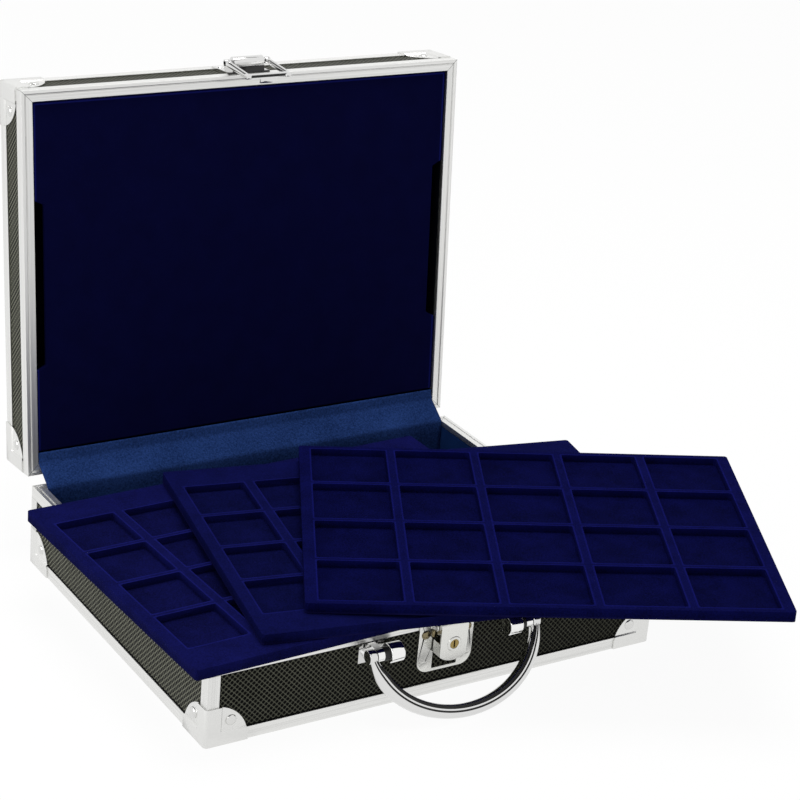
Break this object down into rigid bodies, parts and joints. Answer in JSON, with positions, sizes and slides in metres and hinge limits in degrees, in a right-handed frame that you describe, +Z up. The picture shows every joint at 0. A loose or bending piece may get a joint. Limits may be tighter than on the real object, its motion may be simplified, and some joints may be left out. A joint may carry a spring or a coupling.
{
  "type": "coin_case",
  "caption": "Aluminium-framed coin case, open, with flocked coin trays fanned on the rim, a lever lock, a lid latch and a swinging handle",
  "frame": {"origin": "centre of the base's footprint, at the height of the surface it stands on", "axes": "+X to the right, +Y to the rear where the hinges are, +Z up"},
  "size_m": [0.4504, 0.44, 0.3211],
  "materials": {
    "aluminium_profile": "satin",
    "nickel_plate": "polished",
    "chrome_plate": "polished",
    "brass_key": "polished",
    "steel_pin": "plain",
    "diamond_panel": "embossed",
    "blue_felt": "flocked",
    "strip_felt": "felt",
    "insert_velvet": "velvet",
    "tray_flock": "flocked",
    "tray_card": "plain",
    "batten_wood": "plain"
  },
  "bodies": {
    "base": {"base_bottom_edges": "aluminium_profile", "base_bottom_panel": "diamond_panel", "base_front_panel": "diamond_panel", "base_rear_panel": "diamond_panel", "base_left_panel": "diamond_panel", "base_right_panel": "diamond_panel", "base_rim": "aluminium_profile", "base_corner_posts": "aluminium_profile", "base_corner_brackets": "nickel_plate", "base_corner_rivets": "nickel_plate", "base_lining": "blue_felt", "base_hinge_leaves": "nickel_plate", "base_hinge_rivets": "nickel_plate", "hinge_pins": "steel_pin", "hinge_strip": "strip_felt", "lock_plate": "chrome_plate", "lock_rivets": "brass_key", "lock_hinge_pin": "steel_pin", "handle_mounts": "chrome_plate", "handle_bosses": "chrome_plate", "handle_pins": "steel_pin"},
    "lid": {"lid_edges": "aluminium_profile", "lid_top_panel": "diamond_panel", "lid_front_panel": "diamond_panel", "lid_rear_panel": "diamond_panel", "lid_left_panel": "diamond_panel", "lid_right_panel": "diamond_panel", "lid_rim": "aluminium_profile", "lid_corner_posts": "aluminium_profile", "lid_corner_brackets": "nickel_plate", "lid_corner_rivets": "nickel_plate", "lid_lining": "blue_felt", "lid_battens": "batten_wood", "lid_hinge_leaves": "nickel_plate", "lid_hinge_rivets": "nickel_plate", "latch_plate": "chrome_plate", "latch_pin": "steel_pin", "latch_rivets": "chrome_plate"},
    "lid_insert": {"lid_insert_panel": "insert_velvet"},
    "lever": {"lock_lever": "chrome_plate"},
    "plug": {"lock_plug": "brass_key"},
    "loop": {"latch_loop": "chrome_plate"},
    "handle": {"handle_bail": "chrome_plate"},
    "lower_tray": {"tray_lower_inlay": "tray_flock", "tray_lower_board": "tray_card"},
    "middle_tray": {"tray_middle_inlay": "tray_flock", "tray_middle_board": "tray_card"},
    "upper_tray": {"tray_upper_inlay": "tray_flock", "tray_upper_board": "tray_card"}
  },
  "joints": [
    {"name": "lid_hinge", "type": "hinge", "parent": "base", "child": "lid", "pos_m": [0, 0.1319, 0.0532], "axis": [-1, 0, 0], "range_deg": [-72, 0], "deforming": ["hinge_strip"]},
    {"name": "insert_pull", "type": "slide", "parent": "lid", "child": "lid_insert", "axis": [0, -0.9968, 0.0802], "range_m": [0, 0.025]},
    {"name": "lever_swing", "type": "hinge", "parent": "base", "child": "lever", "pos_m": [0, -0.132, 0.0495], "axis": [-1, 0, 0], "range_deg": [0, 85]},
    {"name": "key_turn", "type": "hinge", "parent": "lever", "child": "plug", "pos_m": [0.0008, -0.135, 0.0386], "axis": [0, -1, 0], "range_deg": [0, 90]},
    {"name": "loop_swing", "type": "hinge", "parent": "lid", "child": "loop", "pos_m": [0, 0.1625, 0.3175], "axis": [-1, 0, 0], "range_deg": [0, 80]},
    {"name": "handle_swing", "type": "hinge", "parent": "base", "child": "handle", "pos_m": [0, -0.136, 0.042], "axis": [-1, 0, 0], "range_deg": [0, 80]},
    {"name": "lower_tray_lift", "type": "slide", "parent": "base", "child": "lower_tray", "axis": [0, 0, 1], "range_m": [0, 0.08]},
    {"name": "middle_tray_lift", "type": "slide", "parent": "lower_tray", "child": "middle_tray", "axis": [0, 0, 1], "range_m": [0, 0.08]},
    {"name": "upper_tray_lift", "type": "slide", "parent": "middle_tray", "child": "upper_tray", "axis": [0, 0, 1], "range_m": [0, 0.08]}
  ]
}
